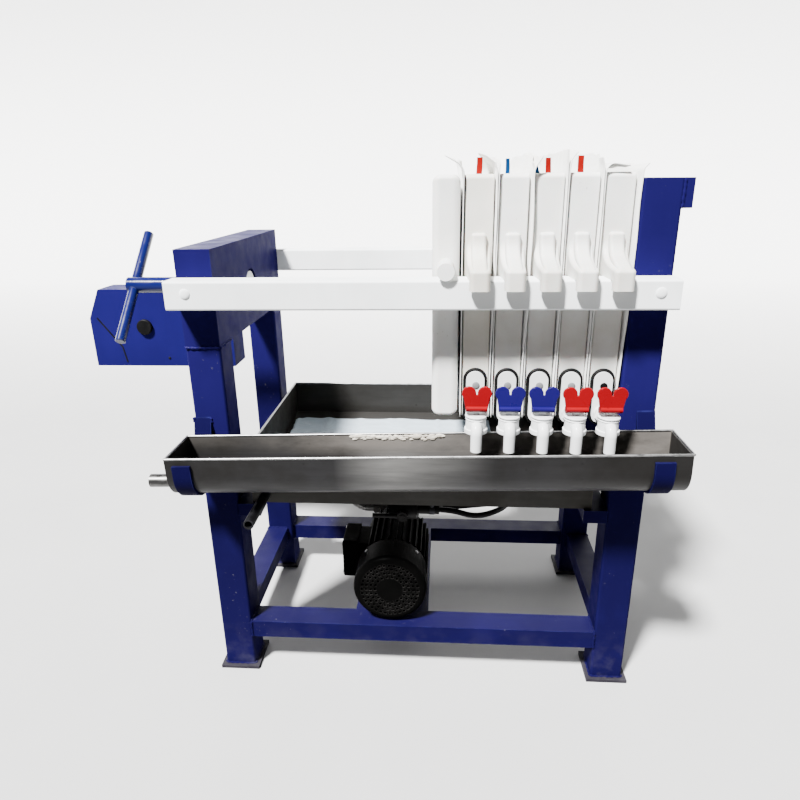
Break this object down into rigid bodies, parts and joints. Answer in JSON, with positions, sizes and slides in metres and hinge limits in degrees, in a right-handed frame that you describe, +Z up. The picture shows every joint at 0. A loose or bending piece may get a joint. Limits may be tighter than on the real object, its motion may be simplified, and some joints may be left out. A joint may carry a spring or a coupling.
{
  "type": "plate filter press",
  "caption": "Small plate filter press for oil: recessed plates on two side rails between a screw crosshead and a fixed head, with taps over a gutter, a tray and a motor pump.",
  "frame": {"origin": "on the floor under the middle of the whole machine's box", "axes": "+X along the plate stack from the screw to the fixed head, -Y the side with the taps, +Z up"},
  "size_m": [1.003, 0.4914, 0.8055],
  "materials": {
    "frame_paint": "royal blue gloss enamel, brushed on",
    "foot_steel": "worn grey steel",
    "rail_paint": "white gloss enamel",
    "nut_bronze": "turned bronze",
    "tray_steel": "dark rolled stainless",
    "gutter_steel": "rolled stainless with bright streaks",
    "pipe_steel": "bright steel",
    "dark_pipe": "dark oily steel",
    "motor_paint": "black enamel on cast fins",
    "fan_cover": "dark grey pressed sheet",
    "pump_iron": "dark cast iron",
    "valve_black": "black",
    "hose_rubber": "black rubber",
    "box_paint": "blue enamel on sheet",
    "knob_black": "black plastic",
    "pad_steel": "turned steel",
    "screw_paint": "glossy blue enamel",
    "plate_plastic": "moulded polypropylene",
    "cloth": "white woven filter cloth",
    "tap_plastic": "white moulded plastic",
    "tap_red": "red moulded plastic",
    "tap_blue": "blue moulded plastic"
  },
  "bodies": {
    "frame": {"front_left_leg": "frame_paint", "rear_left_leg": "frame_paint", "front_right_post": "frame_paint", "rear_right_post": "frame_paint", "foot_plates": "foot_steel", "front_base_beam": "frame_paint", "rear_base_beam": "frame_paint", "left_base_beam": "frame_paint", "right_base_beam": "frame_paint", "screw_crosshead": "frame_paint", "screw_nut": "nut_bronze", "fixed_head": "frame_paint", "head_tie_bar": "frame_paint", "front_side_rail": "rail_paint", "rear_side_rail": "rail_paint", "drip_tray": "tray_steel", "tray_bearers": "frame_paint", "tray_drain_pipe": "dark_pipe", "collecting_gutter": "gutter_steel", "gutter_outlet_pipe": "pipe_steel", "gutter_hooks": "frame_paint", "motor_bars": "frame_paint", "motor_body": "motor_paint", "motor_terminal_box": "motor_paint", "motor_fan_cover": "fan_cover", "gear_pump": "pump_iron", "feed_pipe": "pipe_steel", "drain_valve": "valve_black", "drain_hose": "hose_rubber", "switch_box": "box_paint", "switch_knob": "knob_black"},
    "screw": {"pressure_pad": "pad_steel"},
    "handle": {"screw_spindle": "screw_paint", "tee_handle": "screw_paint"},
    "valve_handle": {"valve_lever": "valve_black"},
    "plate_5": {"filter_plate_5": "plate_plastic", "filter_cloth_5": "cloth", "tap_5": "tap_plastic"},
    "plate_4": {"filter_plate_4": "plate_plastic", "filter_cloth_4": "cloth", "tap_4": "tap_plastic"},
    "plate_3": {"filter_plate_3": "plate_plastic", "filter_cloth_3": "cloth", "tap_3": "tap_plastic"},
    "plate_2": {"filter_plate_2": "plate_plastic", "filter_cloth_2": "cloth", "tap_2": "tap_plastic"},
    "plate_1": {"filter_plate_1": "plate_plastic", "filter_cloth_1": "cloth", "tap_1": "tap_plastic"},
    "follower": {"follower_plate": "plate_plastic"},
    "lever_1": {"tap_lever_1": "tap_red"},
    "lever_2": {"tap_lever_2": "tap_blue"},
    "lever_3": {"tap_lever_3": "tap_blue"},
    "lever_4": {"tap_lever_4": "tap_red"},
    "lever_5": {"tap_lever_5": "tap_red"}
  },
  "joints": [
    {"name": "screw_advance", "type": "slide", "parent": "frame", "child": "screw", "axis": [1, 0, 0], "range_m": [0, 0.105]},
    {"name": "handle_spin", "type": "hinge", "parent": "screw", "child": "handle", "pos_m": [-0.3435, 0.02125, 0.616], "axis": [1, 0, 0], "range_deg": [0, 7560]},
    {"name": "valve_turn", "type": "hinge", "parent": "frame", "child": "valve_handle", "pos_m": [0.1025, -0.13775, 0.288], "axis": [0, -1, 0], "range_deg": [0, 90]},
    {"name": "plate_5_slide", "type": "slide", "parent": "frame", "child": "plate_5", "axis": [-1, 0, 0], "range_m": [0, 0.025]},
    {"name": "plate_4_slide", "type": "slide", "parent": "plate_5", "child": "plate_4", "axis": [-1, 0, 0], "range_m": [0, 0.025]},
    {"name": "plate_3_slide", "type": "slide", "parent": "plate_4", "child": "plate_3", "axis": [-1, 0, 0], "range_m": [0, 0.025]},
    {"name": "plate_2_slide", "type": "slide", "parent": "plate_3", "child": "plate_2", "axis": [-1, 0, 0], "range_m": [0, 0.025]},
    {"name": "plate_1_slide", "type": "slide", "parent": "plate_2", "child": "plate_1", "axis": [-1, 0, 0], "range_m": [0, 0.025]},
    {"name": "follower_slide", "type": "slide", "parent": "plate_1", "child": "follower", "axis": [-1, 0, 0], "range_m": [0, 0.025]},
    {"name": "tap_1_lever", "type": "hinge", "parent": "plate_1", "child": "lever_1", "pos_m": [0.2072, -0.19275, 0.4842], "axis": [1, 0, 0], "range_deg": [0, 40]},
    {"name": "tap_2_lever", "type": "hinge", "parent": "plate_2", "child": "lever_2", "pos_m": [0.2507, -0.19275, 0.4842], "axis": [1, 0, 0], "range_deg": [0, 40]},
    {"name": "tap_3_lever", "type": "hinge", "parent": "plate_3", "child": "lever_3", "pos_m": [0.2942, -0.19275, 0.4842], "axis": [1, 0, 0], "range_deg": [0, 40]},
    {"name": "tap_4_lever", "type": "hinge", "parent": "plate_4", "child": "lever_4", "pos_m": [0.3377, -0.19275, 0.4842], "axis": [1, 0, 0], "range_deg": [0, 40]},
    {"name": "tap_5_lever", "type": "hinge", "parent": "plate_5", "child": "lever_5", "pos_m": [0.3812, -0.19275, 0.4842], "axis": [1, 0, 0], "range_deg": [0, 40]}
  ],
  "couplings": [
    {"joint": "screw_advance", "follows": "handle_spin", "m_per_rad": 0.00079577}
  ]
}
